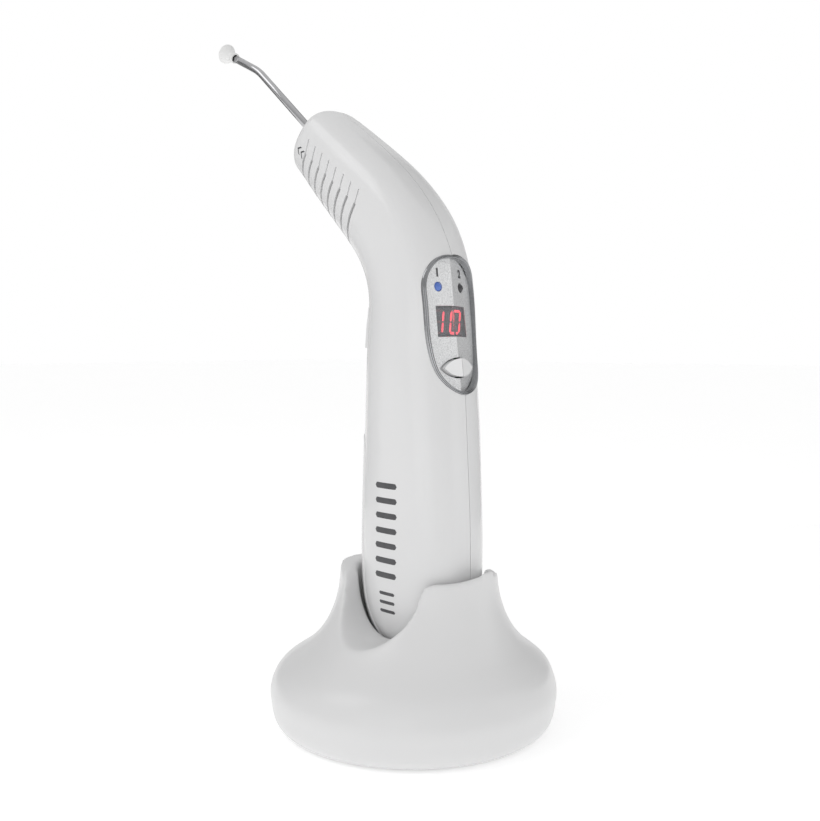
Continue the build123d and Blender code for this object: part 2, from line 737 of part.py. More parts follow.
def make_trigger():
    profile = Wire([
        Edge.make_spline([(-14.9, TRIGGER_TOP), (-15.9, 133.2), (-17.4, 127.7)]),
        Edge.make_three_point_arc((-17.4, 127.7), (-17.2, 126.6), (-16.2, 126.0)),
        Edge.make_line((-16.2, 126.0), (-13.0, TRIGGER_BOTTOM)),
        Edge.make_line((-13.0, TRIGGER_BOTTOM), (-12.6, 133.5)),
        Edge.make_line((-12.6, 133.5), (-9.0, 134.8)),
        Edge.make_line((-9.0, 134.8), (-9.0, 139.0)),
        Edge.make_line((-9.0, 139.0), (-14.9, TRIGGER_TOP)),
    ])
    plane = Plane(origin=(0, -TRIGGER_HALF_WIDTH, 0), x_dir=(1, 0, 0), z_dir=(0, -1, 0))
    body = plane * Solid.extrude(Face(profile), Vector(0, 0, -2 * TRIGGER_HALF_WIDTH))
    slot = block((-12.4, -2.6, 133.0), (-8, 2.6, 140.5))
    bore = side_cylinder(TRIGGER_PIN_X, TRIGGER_PIN_Z, TRIGGER_PIN_RADIUS + RUNNING, -8, 8)
    body = body & handpiece_form(TRIGGER_PROUD)
    return body - slot - bore


def make_trigger_pin():
    return side_cylinder(TRIGGER_PIN_X, TRIGGER_PIN_Z, TRIGGER_PIN_RADIUS, -8.8, 8.8)


def make_trigger_spring():
    """Torsion spring coiled round the trigger's pin."""
    outside = side_cylinder(TRIGGER_PIN_X, TRIGGER_PIN_Z, 1.35, -2.2, 2.2)
    return outside - side_cylinder(TRIGGER_PIN_X, TRIGGER_PIN_Z, TRIGGER_PIN_RADIUS + 0.02, -2.2, 2.2)


def make_trigger_switch():
    body = block((-11.0, -3.0, 125.0), (-6.5, 3.0, 131.0))
    plunger = Plane(origin=(-11.6, 0, 128.0), z_dir=(1, 0, 0)) * Cylinder(
        0.8, 1.0, align=(Align.CENTER, Align.CENTER, Align.MIN)
    )
    return body + plunger


def make_cell():
    cell = upright(CELL_RADIUS, CELL_BOTTOM, CELL_BOTTOM + CELL_LENGTH - 1, CELL_X)
    return cell + upright(2.8, CELL_BOTTOM + CELL_LENGTH - 1, CELL_BOTTOM + CELL_LENGTH, CELL_X)


def make_cradle():
    """Open tube that holds the cell, with a floor for its spring."""
    outer = upright(CELL_RADIUS + 1.1, CELL_BOTTOM - 7, CELL_BOTTOM + 50, CELL_X)
    bore = upright(CELL_RADIUS + 0.1, CELL_BOTTOM - 5.5, CELL_BOTTOM + 51, CELL_X)
    mouth = block((-20, -6.5, CELL_BOTTOM - 2), (CELL_X, 6.5, CELL_BOTTOM + 51))
    return outer - bore - mouth


def make_cell_contact():
    low = CELL_BOTTOM + CELL_LENGTH
    return block((CELL_X - 6, -6, low), (CELL_X + 6, 6, low + 0.8))


def make_cell_spring():
    low = CELL_BOTTOM - 5.5
    wires = coil(CELL_X, 0, low, CELL_BOTTOM, 4.0, 0.4, 3)
    return wires


def make_contact(x):
    """Charging contact, flush with the rounded foot of the handpiece."""
    stud = upright(CONTACT_RADIUS, HANDLE_BOTTOM, HANDLE_BOTTOM + 4.5, x)
    return stud + upright(0.6, HANDLE_BOTTOM + 4.5, HANDLE_BOTTOM + 6.5, x)


def make_heat_sink():
    sink = guide_rod(4.5, -44, -30)
    for index in range(6):
        start = -44 + index * 2.5
        sink = sink + guide_rod(8.5, start, start + 1.2)
    return sink


def make_emitter():
    return guide_rod(6.0, -30, -24) + guide_rod(4.6, -24, -20.5)


def make_lens():
    return guide_rod(3.6, -20.3, -17.6)


def make_guide_socket():
    sleeve = guide_rod(SOCKET_OUTER - 0.05, -SOCKET_LENGTH, -1.4)
    sleeve = sleeve - guide_rod(SOCKET_BORE, -SOCKET_LENGTH - 1, 1)
    return sleeve - guide_rod(SOCKET_BORE + 1.2, -7, -5.2)


def make_socket_seal():
    ring = guide_rod(SOCKET_BORE + 1.2, -6.9, -5.3)
    return ring - guide_rod(SOCKET_BORE - RUNNING / 2, -6.9, -5.3)


def make_guide_collar():
    sleeve = guide_rod(SOCKET_BORE - RUNNING, -15, 0.8)
    flange = guide_rod(5.6, 0.6, COLLAR_END)
    grip = flange.edges().filter_by(GeomType.CIRCLE)
    flange = chamfer(grip, 0.5)
    collar = sleeve + flange
    return collar - guide_rod(FERRULE_RADIUS + RUNNING, -16, COLLAR_END + 1)


def make_guide_ferrule():
    ferrule = guide_rod(FERRULE_RADIUS, -16.2, COLLAR_END + 1.3)
    ferrule = ferrule + guide_rod(3.3, -16.2, -15.3)
    ferrule = ferrule + guide_rod(3.3, COLLAR_END + 0.3, COLLAR_END + 1.3)
    return ferrule - guide_rod(TUBE_RADIUS, -17, COLLAR_END + 2)


def guide_path():
    """Straight run, one bend in the plane Y = 0, straight run."""
    start = guide_plane(-16.2).origin
    corner = guide_plane(GUIDE_STRAIGHT).origin
    stop = corner + unit(GUIDE_TILT + GUIDE_BEND) * GUIDE_DISTAL
    return FilletPolyline(start, corner, stop, radius=GUIDE_BEND_RADIUS)


def swept_rod(path, radius):
    section = Plane(origin=path @ 0, z_dir=path % 0) * Circle(radius)
    return sweep(section, path=path)


def tip_plane(along):
    """Plane across the guide's distal run; zero is the end of the tube."""
    corner = guide_plane(GUIDE_STRAIGHT).origin
    angle = GUIDE_TILT + GUIDE_BEND
    return frame_on(corner + unit(angle) * (GUIDE_DISTAL + along), angle)


def tip_rod(radius, low, high):
    align = (Align.CENTER, Align.CENTER, Align.MIN)
    return tip_plane(low) * Cylinder(radius, high - low, align=align)


def make_tip_cap():
    """Soft diffuser cap: a neck that flares into a rounded button."""
    neck = tip_rod(CAP_NECK_RADIUS, -4.6, -1.0)
    flare = tip_plane(-1.0) * Cone(CAP_NECK_RADIUS, FLARE_RADIUS, 2.0, align=(Align.CENTER, Align.CENTER, Align.MIN))
    button = tip_rod(FLARE_RADIUS, 1.0, 2.4)
    rim = button.edges().filter_by(GeomType.CIRCLE).sort_by(Axis((0, 0, 0), unit(GUIDE_TILT + GUIDE_BEND)))[-1]
    button = fillet(rim, 1.2)
    return neck + flare + button - tip_rod(TUBE_RADIUS + RUNNING, -5, 0.3)


def main():
    outer = handpiece_form()
    inner = handpiece_form(-WALL, WALL, SPINE_LENGTH - 2.6)
    groove_core = handpiece_form(-VENT_GROOVE_DEPTH)
    nose_edge = outer.edges().sort_by(Axis((0, 0, 0), unit(NOSE_TILT)))[-1]
    outer = outer.fillet(NOSE_ROUND, [nose_edge])

    save("stand_shell", make_stand_shell())
    save("foot_pad", make_foot_pad())
    save("base_plate", make_base_plate())
    save("base_screws", make_base_screws())
    save("ballast_weight", make_ballast())
    save("charge_board", make_charge_board())
    save("board_standoffs", make_board_standoffs())
    save("contact_block", make_contact_block())
    for name, x in zip(("front", "back"), contact_places()):
        save(f"charge_pin_{name}", make_charge_pin(x))
        save(f"charge_spring_{name}", make_charge_spring(x))
        save(f"handle_contact_{name}", make_contact(x))
    save("power_socket", make_power_socket())

    save("left_shell", make_shell_half(-1, outer, inner, groove_core))
    save("right_shell", make_shell_half(1, outer, inner, groove_core))
    save("shell_screws", make_shell_screws())
    save("battery_cover", make_battery_cover(outer, inner))
    save("panel_bezel", make_bezel())
    save("panel_plate", make_panel_plate())
    save("display_window", make_display_window())
    save("display_module", make_display_module())
    save("indicator_left", make_indicator(-INDICATOR_X))
    save("indicator_right", make_indicator(INDICATOR_X))
    save("rocker_button", make_rocker_button())
    save("rocker_pin", make_rocker_pin())
    save("rocker_switch_left", make_rocker_switch(-SWITCH_X))
    save("rocker_switch_right", make_rocker_switch(SWITCH_X))
    save("control_board", make_control_board())
    save("buzzer", make_buzzer())
    save("trigger", make_trigger())
    save("trigger_pin", make_trigger_pin())
    save("trigger_spring", make_trigger_spring())
    save("trigger_switch", make_trigger_switch())

    save("battery_cell", make_cell())
    save("battery_cradle", make_cradle())
    save("battery_contact", make_cell_contact())
    save("battery_spring", make_cell_spring())

    save("heat_sink", make_heat_sink())
    save("emitter_module", make_emitter())
    save("emitter_lens", make_lens())
    save("guide_socket", make_guide_socket())
    save("socket_seal", make_socket_seal())
    save("guide_collar", make_guide_collar())
    save("guide_ferrule", make_guide_ferrule())
    path = guide_path()
    rod = swept_rod(path, TUBE_RADIUS)
    core = swept_rod(path, CORE_RADIUS)
    save("guide_tube", rod - core)
    save("guide_core", core)
    save("tip_cap", make_tip_cap())


main()
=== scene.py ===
import bmesh
import bpy
import json
import numpy as np
from math import cos, pi, radians, sin, sqrt, tan
from mathutils import Matrix, Vector
from mathutils.bvhtree import BVHTree


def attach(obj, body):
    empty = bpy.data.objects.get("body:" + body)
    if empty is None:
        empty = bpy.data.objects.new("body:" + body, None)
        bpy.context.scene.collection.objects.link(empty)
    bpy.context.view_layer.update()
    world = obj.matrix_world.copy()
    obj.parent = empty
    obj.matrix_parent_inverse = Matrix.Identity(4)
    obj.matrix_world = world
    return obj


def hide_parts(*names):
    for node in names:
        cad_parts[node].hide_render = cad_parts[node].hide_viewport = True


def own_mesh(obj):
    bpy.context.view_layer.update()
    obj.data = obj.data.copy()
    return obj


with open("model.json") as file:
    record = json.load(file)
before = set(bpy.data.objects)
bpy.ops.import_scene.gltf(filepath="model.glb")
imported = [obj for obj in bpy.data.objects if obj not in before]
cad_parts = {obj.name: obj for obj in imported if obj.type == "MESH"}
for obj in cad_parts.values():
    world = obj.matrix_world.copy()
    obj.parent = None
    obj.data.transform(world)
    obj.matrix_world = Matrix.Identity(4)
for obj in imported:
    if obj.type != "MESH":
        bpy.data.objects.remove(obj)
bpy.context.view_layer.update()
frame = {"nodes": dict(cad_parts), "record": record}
NODES = frame["nodes"]

MM = 0.001
ACROSS = Vector((0, 1, 0))


# ---- shared helpers -------------------------------------------------------------

def add_object(name, data):
    made = bpy.data.objects.new(name, data)
    bpy.context.scene.collection.objects.link(made)
    return made


def mesh_from(name, bm):
    mesh = bpy.data.meshes.new(name)
    bm.to_mesh(mesh)
    bm.free()
    return mesh


def set_smooth(mesh, smooth):
    mesh.polygons.foreach_set("use_smooth", [smooth] * len(mesh.polygons))


def evaluated_mesh(source):
    """A new mesh of the object with its modifiers made real."""
    graph = bpy.context.evaluated_depsgraph_get()
    return bpy.data.meshes.new_from_object(source.evaluated_get(graph))


def join_rings(bm, rings, closed=False):
    """Quads between each ring of vertices and the next, and from last to first if closed."""
    following = rings[1:] + rings[:1] if closed else rings[1:]
    for a, b in zip(rings, following):
        for k in range(len(a)):
            n = (k + 1) % len(a)
            bm.faces.new((a[k], a[n], b[n], b[k]))


def add_piece(name, bm, material, body):
    """A smooth-shaded piece that rides on a body."""
    bmesh.ops.recalc_face_normals(bm, faces=bm.faces)
    mesh = mesh_from(name, bm)
    mesh.materials.append(material)
    set_smooth(mesh, True)
    piece = add_object(name, mesh)
    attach(piece, body)
    return piece


def surface_of(name):
    """Ray-casting tree over a CAD node."""
    bm = bmesh.new()
    bm.from_mesh(NODES[name].data)
    tree = BVHTree.FromBMesh(bm)
    bm.free()
    return tree


# ---- materials ------------------------------------------------------------------

# the part of a noise texture's range that carries its pattern
NOISE_LOW = 0.3
NOISE_HIGH = 0.7


def shade(colour, factor):
    return tuple(min(1.0, c * factor) for c in colour)


class Shader:
    """A principled material with a few node helpers, in object space."""

    INPUTS = {"ior": "IOR", "coat": "Coat Weight", "coat_rough": "Coat Roughness",
              "metal": "Metallic", "clear": "Transmission Weight", "glow": "Emission Strength"}

    def __init__(self, name):
        self.material = bpy.data.materials.new(name)
        self.material.use_nodes = True
        self.tree = self.material.node_tree
        self.main = self.tree.nodes["Principled BSDF"]
        self.place = self.add("ShaderNodeTexCoord").outputs["Object"]

    def add(self, kind, **values):
        """A node with some of its input sockets set."""
        node = self.tree.nodes.new(kind)
        for key, value in values.items():
            node.inputs[key.replace("_", " ")].default_value = value
        return node

    def link(self, source, target):
        self.tree.links.new(source, target)

    def noise(self, scale, detail, rough=0.55, stretch=None):
        node = self.add("ShaderNodeTexNoise", Scale=scale, Detail=detail, Roughness=rough)
        place = self.place
        if stretch:
            mapping = self.add("ShaderNodeMapping", Scale=stretch)
            self.link(place, mapping.inputs["Vector"])
            place = mapping.outputs["Vector"]
        self.link(place, node.inputs["Vector"])
        return node.outputs["Fac"]

    def cells(self, scale):
        node = self.add("ShaderNodeTexVoronoi", Scale=scale)
        self.link(self.place, node.inputs["Vector"])
        return node.outputs["Distance"]

    def colour(self, source, stops):
        """Base colour: a ramp of (position, colour) stops over a texture."""
        node = self.add("ShaderNodeValToRGB")
        elements = node.color_ramp.elements
        while len(elements) < len(stops):
            elements.new(0.5)
        for element, (position, colour) in zip(elements, stops):
            element.position = position
            element.color = (*colour, 1)
        self.link(source, node.inputs["Fac"])
        self.link(node.outputs["Color"], self.main.inputs["Base Color"])

    def tone(self, source, colour, darkest, lightest):
        """Base colour that drifts between two factors of one colour."""
        self.colour(source, ((NOISE_LOW, shade(colour, darkest)),
                             (NOISE_HIGH, shade(colour, lightest))))

    def polish(self, source, low, high):
        """Roughness that drifts between two values."""
        node = self.add("ShaderNodeMapRange", From_Min=NOISE_LOW, From_Max=NOISE_HIGH,
                        To_Min=low, To_Max=high)
        self.link(source, node.inputs["Value"])
        self.link(node.outputs["Result"], self.main.inputs["Roughness"])

    def bump(self, source, strength, depth):
        """Surface relief of a depth in millimetres."""
        node = self.add("ShaderNodeBump", Strength=strength, Distance=depth * MM)
        self.link(source, node.inputs["Height"])
        self.link(node.outputs["Normal"], self.main.inputs["Normal"])

    def set(self, **values):
        for key, value in values.items():
            self.main.inputs[self.INPUTS[key]].default_value = value


def moulded(name, colour, rough, grain, tone_scale, coat=0.0, contrast=0.02, grain_scale=2600):
    """Moulded plastic: faint tone drift, fine mould texture, uneven polish."""
    s = Shader(name)
    s.tone(s.noise(tone_scale, 4), colour, 1 - contrast, 1 + contrast)
    s.polish(s.noise(tone_scale * 6, 5), rough * 0.88, rough * 1.12)
    if grain:
        s.bump(s.noise(grain_scale, 2), grain, 0.03)
    if coat:
        s.set(coat=coat, coat_rough=0.08)
    return s.material


def metal(name, colour, rough, stretch, grain=0.12, contrast=0.08):
    """Machined metal: fine lines along one direction and a slight tone drift."""
    s = Shader(name)
    lines = s.noise(900, 3, 0.6, stretch)
    s.tone(lines, colour, 1 - contrast, 1 + contrast)
    s.polish(lines, rough * 0.7, rough * 1.3)
    s.bump(lines, grain, 0.02)
    s.set(metal=1.0)
    return s.material


def rubber(name, colour):
    """Matt rubber with a fine cell texture."""
    s = Shader(name)
    s.tone(s.noise(60, 5), colour, 0.85, 1.15)
    s.polish(s.noise(300, 3), 0.7, 0.9)
    s.bump(s.cells(1400), 0.3, 0.06)
    return s.material


def board(name):
    """Green solder mask with a grid of paler tracks showing through."""
    s = Shader(name)
    grid = s.add("ShaderNodeTexBrick", Scale=420, Mortar_Size=0.06, Mortar=(0.09, 0.34, 0.12, 1),
                 Color1=(0.02, 0.16, 0.06, 1), Color2=(0.03, 0.2, 0.08, 1))
    s.link(s.place, grid.inputs["Vector"])
    s.link(grid.outputs["Color"], s.main.inputs["Base Color"])
    s.polish(s.noise(200, 3), 0.28, 0.42)
    s.bump(grid.outputs["Fac"], 0.2, 0.03)
    return s.material


def sparkle(name, colour):
    """Silver paint with fine flakes."""
    s = Shader(name)
    flakes = s.noise(2600, 4, 0.75)
    s.colour(flakes, ((0.34, shade(colour, 0.72)), (0.5, colour), (0.68, shade(colour, 1.25))))
    s.polish(s.noise(700, 4), 0.3, 0.42)
    s.bump(flakes, 0.35, 0.04)
    s.set(metal=0.5)
    return s.material


def glass(name, colour, rough, clear=1.0, ior=1.49):
    """Clear glass or plastic with a faint drift of tint and polish."""
    s = Shader(name)
    s.tone(s.noise(120, 3), colour, 0.97, 1)
    s.polish(s.noise(400, 3), rough * 0.8, rough * 1.2)
    s.set(clear=clear, ior=ior)
    return s.material


def glowing(name, colour, rough, glow, tint):
    """Diffused plastic with its own light behind it."""
    s = Shader(name)
    s.tone(s.noise(600, 3), colour, 0.9, 1)
    s.polish(s.noise(800, 3), rough * 0.8, rough * 1.2)
    s.main.inputs["Emission Color"].default_value = (*tint, 1)
    s.set(glow=glow)
    return s.material


def wrap(name):
    """Cell sleeve: printed band pattern without lettering."""
    s = Shader(name)
    bands = s.add("ShaderNodeTexWave", Scale=14, Distortion=0.4)
    bands.bands_direction = "Z"
    s.link(s.place, bands.inputs["Vector"])
    s.colour(bands.outputs["Fac"], ((0.1, (0.03, 0.16, 0.42)), (0.2, (0.02, 0.26, 0.62))))
    s.polish(s.noise(90, 4), 0.29, 0.42)
    s.bump(s.noise(350, 4), 0.25, 0.08)
    return s.material


# Each roughness range stays on one side of 0.274, where the denoiser changes its
# treatment: a range that crosses it gives dark flecks.
WHITE = (0.765, 0.765, 0.768)
STAND_WHITE = (0.755, 0.755, 0.757)
LOOKS = {
    "white_plastic": moulded("white_plastic", WHITE, 0.24, 0.05, 22, 0.2, 0.012),
    "stand_plastic": moulded("stand_plastic", STAND_WHITE, 0.34, 0.03, 18, 0.15, 0.014, 2000),
    "grey_rubber": rubber("grey_rubber", (0.05, 0.05, 0.055)),
    "black_plastic": moulded("black_plastic", (0.02, 0.02, 0.022), 0.5, 0.3, 60, 0, 0.15),
    "grey_plastic": moulded("grey_plastic", (0.24, 0.245, 0.25), 0.55, 0.35, 40, 0, 0.06),
    "dark_chrome": metal("dark_chrome", (0.34, 0.345, 0.355), 0.14, (0.2, 1, 0.2), 0.04, 0.04),
    "silver_panel": sparkle("silver_panel", (0.78, 0.785, 0.79)),
    "smoked_window": glass("smoked_window", (0.84, 0.86, 0.88), 0.05, 0.92, 1.18),
    "display_red": moulded("display_case", (0.2, 0.205, 0.21), 0.45, 0.1, 300, 0, 0.1),
    "blue_lens": glowing("blue_lens", (0.10, 0.18, 0.5), 0.21, 0.12, (0.12, 0.25, 0.9)),
    "dark_lens": moulded("dark_lens", (0.02, 0.02, 0.025), 0.18, 0.05, 300, 0.5, 0.2),
    "button_white": moulded("button_white", (0.86, 0.86, 0.862), 0.16, 0.03, 80, 0.6, 0.012),
    "green_board": board("green_board"),
    "steel": metal("steel", (0.55, 0.56, 0.58), 0.2, (1, 1, 0.1)),
    "bright_steel": metal("bright_steel", (0.5, 0.5, 0.51), 0.12, (0.3, 0.3, 0.3), 0.03, 0.05),
    "gold_contact": metal("gold_contact", (0.83, 0.6, 0.25), 0.2, (1, 1, 0.2)),
    "cell_wrap": wrap("cell_wrap"),
    "black_anodised": metal("black_anodised", (0.05, 0.05, 0.055), 0.43, (1, 1, 0.3), 0.2, 0.2),
    "lens_glass": glass("lens_glass", (0.92, 0.96, 1.0), 0.03),
    "fibre_glass": glass("fibre_glass", (0.93, 0.95, 0.98), 0.12),
    "cap_plastic": moulded("cap_plastic", (0.80, 0.80, 0.795), 0.35, 0.02, 200, 0.1, 0.02),
}
INK = moulded("print_ink", (0.075, 0.075, 0.08), 0.45, 0.1, 400, 0, 0.12)
SEGMENT_LIT = glowing("segment_lit", (0.6, 0.05, 0.06), 0.4, 1.6, (1.0, 0.1, 0.13))
SEGMENT_DIM = moulded("segment_dim", (0.34, 0.24, 0.24), 0.5, 0.05, 600, 0, 0.06)
FLAG_CARD = moulded("flag_card", (0.3, 0.3, 0.3), 0.9, 0.0, 9.0)


def paint_nodes():
    slots = {part["node"]: part["material_slot"] for part in frame["record"]["subparts"]}
    for name, node in NODES.items():
        node.data.materials.clear()
        node.data.materials.append(LOOKS[slots[name]])


# ---- camera, floor and lights ---------------------------------------------------

CAMERA_PLACE = (0.2144, -0.2574, 0.127)
CAMERA_AZIMUTH = 40.0
CAMERA_PITCH = 3.75
CAMERA_LENS = 43.9
CAMERA_CLIP = (0.01, 20)
SENSOR = 36.0

# name, place, what it points at, width and height, watts
LIGHTS = (
    ("key_light", (-0.35, -0.6, 0.75), (0, 0, 0.1), (0.45, 0.45), 0.9),
    ("side_light", (0.62, 0.32, 0.25), (0, 0, 0.12), (0.3, 0.5), 0.18),
    ("fill_light", (0.2, -0.6, 0.12), (0, 0, 0.06), (0.5, 0.3), 0.25),
)

# strength at the horizon and overhead, and the heights on the unit sphere they belong to
HORIZON_LIGHT = 0.57
OVERHEAD_LIGHT = 1.0
HORIZON_HEIGHT = -0.1
OVERHEAD_HEIGHT = 0.9

FLAG_LENGTH = 0.34
FLAG_BOW = 0.04
FLAG_STEPS = 8
# across and behind the object as the camera sees it, lowest and highest edge
FLAGS = ((-0.36, 0.24, 0.0, 0.42), (0.36, 0.24, 0.0, 0.42), (0.26, 0.32, 0.42, 0.85))

FLOOR_REACH = 6
FLOOR_CELLS = 8
FLOOR_LIFT = 0.3


def make_camera():
    data = bpy.data.cameras.new("camera")
    data.sensor_width = SENSOR
    data.lens = CAMERA_LENS
    data.clip_start, data.clip_end = CAMERA_CLIP
    camera = add_object("camera", data)
    camera.location = CAMERA_PLACE
    camera.rotation_euler = (radians(90 - CAMERA_PITCH), 0, radians(CAMERA_AZIMUTH))
    bpy.context.scene.camera = camera


def make_light(name, place, target, size, power):
    data = bpy.data.lights.new(name, "AREA")
    data.shape = "RECTANGLE"
    data.size, data.size_y = size
    data.energy = power
    light = add_object(name, data)
    light.location = place
    direction = Vector(target) - Vector(place)
    light.rotation_euler = direction.to_track_quat("-Z", "Y").to_euler()


def make_world():
    """White backdrop; the light itself falls off from overhead to the horizon."""
    world = bpy.data.worlds.new("studio")
    world.use_nodes = True
    tree = world.node_tree
    backdrop = tree.nodes["Background"]
    backdrop.inputs["Color"].default_value = (1, 1, 1, 1)
    place = tree.nodes.new("ShaderNodeTexCoord")
    split = tree.nodes.new("ShaderNodeSeparateXYZ")
    height = tree.nodes.new("ShaderNodeMapRange")
    height.inputs["From Min"].default_value = HORIZON_HEIGHT
    height.inputs["From Max"].default_value = OVERHEAD_HEIGHT
    height.inputs["To Min"].default_value = HORIZON_LIGHT
    height.inputs["To Max"].default_value = OVERHEAD_LIGHT
    sky = tree.nodes.new("ShaderNodeBackground")
    path = tree.nodes.new("ShaderNodeLightPath")
    mix = tree.nodes.new("ShaderNodeMixShader")
    link = tree.links.new
    link(place.outputs["Generated"], split.inputs[0])
    link(split.outputs["Z"], height.inputs["Value"])
    link(height.outputs["Result"], sky.inputs["Strength"])
    link(path.outputs["Is Camera Ray"], mix.inputs[0])
    link(sky.outputs[0], mix.inputs[1])
    link(backdrop.outputs[0], mix.inputs[2])
    link(mix.outputs[0], tree.nodes["World Output"].inputs["Surface"])
    return world


def make_flag(name, across, behind, low, high):
    """Bowed grey card that only reflections see; it edges the white forms and the tube."""
    turn = radians(CAMERA_AZIMUTH)
    right = Vector((cos(turn), sin(turn), 0))
    back = Vector((-sin(turn), cos(turn), 0))
    centre = right * across + back * behind
    outward = centre.normalized()
    sideways = Vector((-outward.y, outward.x, 0))
    bm = bmesh.new()
    columns = []
    for step in range(FLAG_STEPS + 1):
        along = (step / FLAG_STEPS - 0.5) * FLAG_LENGTH
        bow = outward * FLAG_BOW * (1 - (2 * step / FLAG_STEPS - 1) ** 2)
        foot = centre + sideways * along + bow
        columns.append([bm.verts.new(foot + Vector((0, 0, z))) for z in (low, high)])
    for (a, b), (c, d) in zip(columns, columns[1:]):
        bm.faces.new((a, c, d, b))
    mesh = mesh_from(name, bm)
    mesh.materials.append(FLAG_CARD)
    flag = add_object(name, mesh)
    flag.visible_camera = False
    flag.visible_shadow = False
    flag.visible_diffuse = False


def make_floor():
    """White floor, lifted by a little light of its own to meet the backdrop."""
    bm = bmesh.new()
    bmesh.ops.create_grid(bm, x_segments=FLOOR_CELLS, y_segments=FLOOR_CELLS, size=FLOOR_REACH)
    mesh = mesh_from("floor", bm)
    floor = add_object("floor", mesh)
    paint = moulded("floor_paint", (0.97, 0.97, 0.97), 0.7, 0.0, 3.0, 0.0, 0.004)
    shader = paint.node_tree.nodes["Principled BSDF"]
    shader.inputs["Emission Color"].default_value = (1, 1, 1, 1)
    shader.inputs["Emission Strength"].default_value = FLOOR_LIFT
    mesh.materials.append(paint)


def make_studio():
    bpy.context.scene.world = make_world()
    bpy.context.scene.view_settings.view_transform = "Standard"
    for light in LIGHTS:
        make_light(*light)
    for index, place in enumerate(FLAGS):
        make_flag(f"flag_{index}", *place)
    make_floor()


# ---- stand ----------------------------------------------------------------------

STAND_VOXEL = 0.75 * MM
STAND_ROUNDING = 14
SHOULDER_LOW = 10 * MM
SHOULDER_HIGH = 26 * MM
SHOULDER_GAIN = 1.6
SHOULDER_ROUNDING = 60
SMOOTHING_STEP = 0.5


def make_real(piece):
    """Put the piece's modifiers into its mesh."""
    mesh = evaluated_mesh(piece)
    old = piece.data
    piece.modifiers.clear()
    piece.data = mesh
    bpy.data.meshes.remove(old)


def add_smoothing(piece, name, rounds):
    smooth = piece.modifiers.new(name, "SMOOTH")
    smooth.factor = SMOOTHING_STEP
    smooth.iterations = rounds
    return smooth


def soften_shoulder(casing):
    """Even out the turn from the flare into the brim."""
    zone = casing.vertex_groups.new(name="shoulder")
    middle = (SHOULDER_LOW + SHOULDER_HIGH) / 2
    reach = (SHOULDER_HIGH - SHOULDER_LOW) / 2
    for vertex in casing.data.vertices:
        weight = 1 - abs(vertex.co.z - middle) / reach
        if weight > 0:
            zone.add([vertex.index], min(1.0, weight * SHOULDER_GAIN), "REPLACE")
    add_smoothing(casing, "shoulder", SHOULDER_ROUNDING).vertex_group = "shoulder"
    make_real(casing)
    casing.vertex_groups.clear()


def make_stand_casing():
    """The moulded bell with every edge rounded over."""
    casing = add_object("stand_casing", NODES["stand_shell"].data.copy())
    remesh = casing.modifiers.new("remesh", "REMESH")
    remesh.mode = "VOXEL"
    remesh.voxel_size = STAND_VOXEL
    add_smoothing(casing, "smooth", STAND_ROUNDING)
    make_real(casing)
    soften_shoulder(casing)
    casing.data.materials.clear()
    casing.data.materials.append(LOOKS["stand_plastic"])
    set_smooth(casing.data, True)
    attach(casing, "stand")
    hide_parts("stand_shell")


# ---- charging springs -----------------------------------------------------------


def make_contact_springs():
    """Pin springs, as copies of the CAD springs with meshes of their own."""
    for end in ("front", "back"):
        spring = add_object(f"contact_spring_{end}", NODES[f"charge_spring_{end}"].data.copy())
        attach(spring, "stand")
        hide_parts(f"charge_spring_{end}")
        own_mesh(spring)


# ---- display panel --------------------------------------------------------------

PANEL_ORIGIN = Vector((0.0184, 0, 0.126))
PANEL_LEAN = radians(6.4)
PANEL_NORMAL = Vector((cos(PANEL_LEAN), 0, sin(PANEL_LEAN)))
PANEL_UP = Vector((-sin(PANEL_LEAN), 0, cos(PANEL_LEAN)))
FACET_TILT = radians(12)


def on_panel(across, up, out):
    """Row point from millimetres across (towards +Y), up the panel and out of it."""
    return PANEL_ORIGIN + (ACROSS * across + PANEL_UP * up + PANEL_NORMAL * out) * MM


# half of the outer edge, from top to bottom: across, up
BEZEL_OUTLINE = (
    (8.2, 28.4), (12.5, 23.6), (13.3, 15.5), (13.1, 6.5), (12.3, -2.5), (10.4, -9.0), (6.2, -13.4),
)
BEZEL_TOP = 30.0
BEZEL_BOTTOM = -15.3
BEZEL_STEPS = 220
# inset from the outer edge, height over the CAD band's top
BEZEL_PROFILE = (
    (0.06, -1.6), (0.06, -0.42), (0.1, -0.2), (0.2, -0.07), (0.32, -0.04), (0.42, -0.12),
    (0.48, -0.3), (0.55, -0.3), (0.61, -0.14), (0.7, -0.07), (0.82, -0.1), (0.9, -0.22),
    (0.94, -0.34), (0.99, -0.34), (1.03, -0.3), (1.08, -0.36), (1.1, -0.5), (1.1, -2.4),
)
# insets at which the CAD band's top is measured, and how far out the rays start
BAND_INSETS = (0.35, 0.8, 1.25)
PANEL_RAY_OUT = 12


